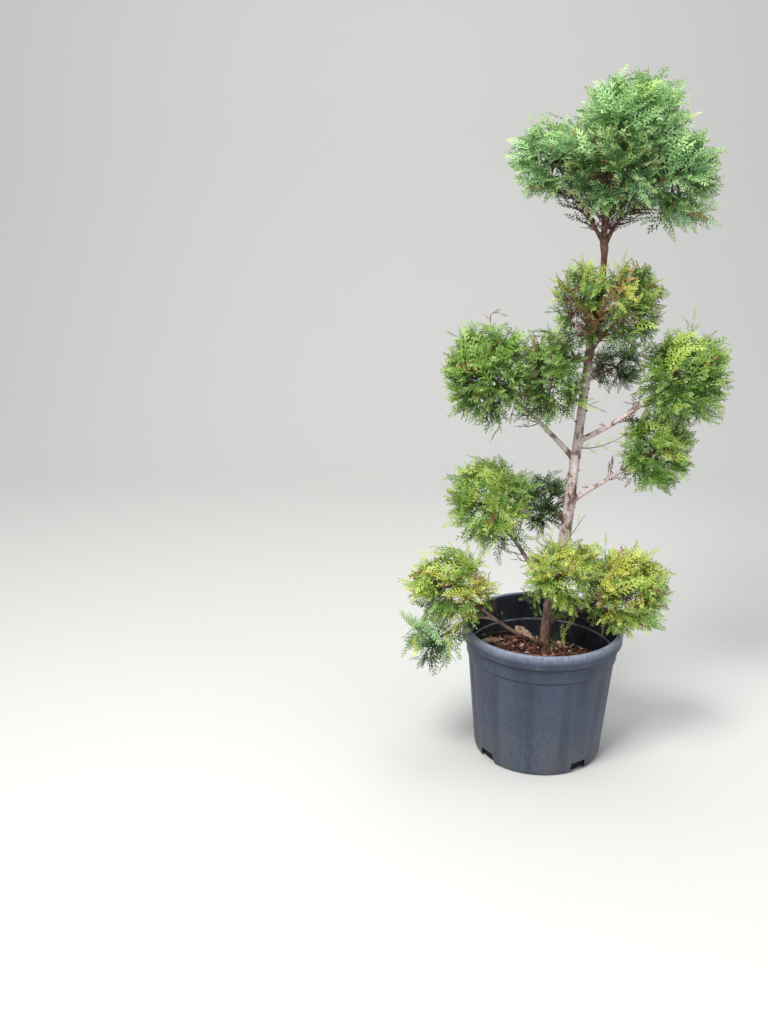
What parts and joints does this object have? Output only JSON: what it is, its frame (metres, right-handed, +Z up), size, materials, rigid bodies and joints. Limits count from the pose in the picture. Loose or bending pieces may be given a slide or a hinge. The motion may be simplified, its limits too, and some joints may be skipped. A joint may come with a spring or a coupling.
{
  "type": "potted cloud-pruned conifer topiary",
  "caption": "Small scale-leaved conifer trained as a leaning trunk with clipped foliage tufts stepping round it, growing in a round ribbed plastic nursery pot of bark compost.",
  "frame": {"origin": "middle of the pot's flat underside", "axes": "+Z up; +X to the right and +Y to the back as the plant is seen from the front"},
  "size_m": [0.5925, 0.32, 1.297],
  "materials": {
    "pot": "satin, dusty",
    "compost": "rough, damp bark compost",
    "bark": "rough bark",
    "foliage": "matt scale leaves"
  },
  "bodies": {
    "root": {"pot": "pot", "compost": "compost", "trunk": "bark", "bough_head_left": "bark", "foliage_head_left": "foliage", "bough_head_top": "bark", "foliage_head_top": "foliage", "bough_head_right": "bark", "foliage_head_right": "foliage", "bough_head_front": "bark", "foliage_head_front": "foliage", "bough_head_back": "bark", "foliage_head_back": "foliage", "bough_collar_left": "bark", "foliage_collar_left": "foliage", "bough_collar_right": "bark", "foliage_collar_right": "foliage", "bough_left_outer": "bark", "foliage_left_outer": "foliage", "bough_left_inner": "bark", "foliage_left_inner": "foliage", "bough_right": "bark", "foliage_right": "foliage", "bough_right_low": "bark", "foliage_right_low": "foliage", "bough_back": "bark", "foliage_back": "foliage", "bough_mid_left": "bark", "foliage_mid_left": "foliage", "bough_mid_back": "bark", "foliage_mid_back": "foliage", "bough_low_front": "bark", "foliage_low_front": "foliage", "bough_low_right": "bark", "foliage_low_right": "foliage", "bough_low_left": "bark", "foliage_low_left": "foliage", "bough_low_droop": "bark", "foliage_low_droop": "foliage"}
  },
  "joints": []
}
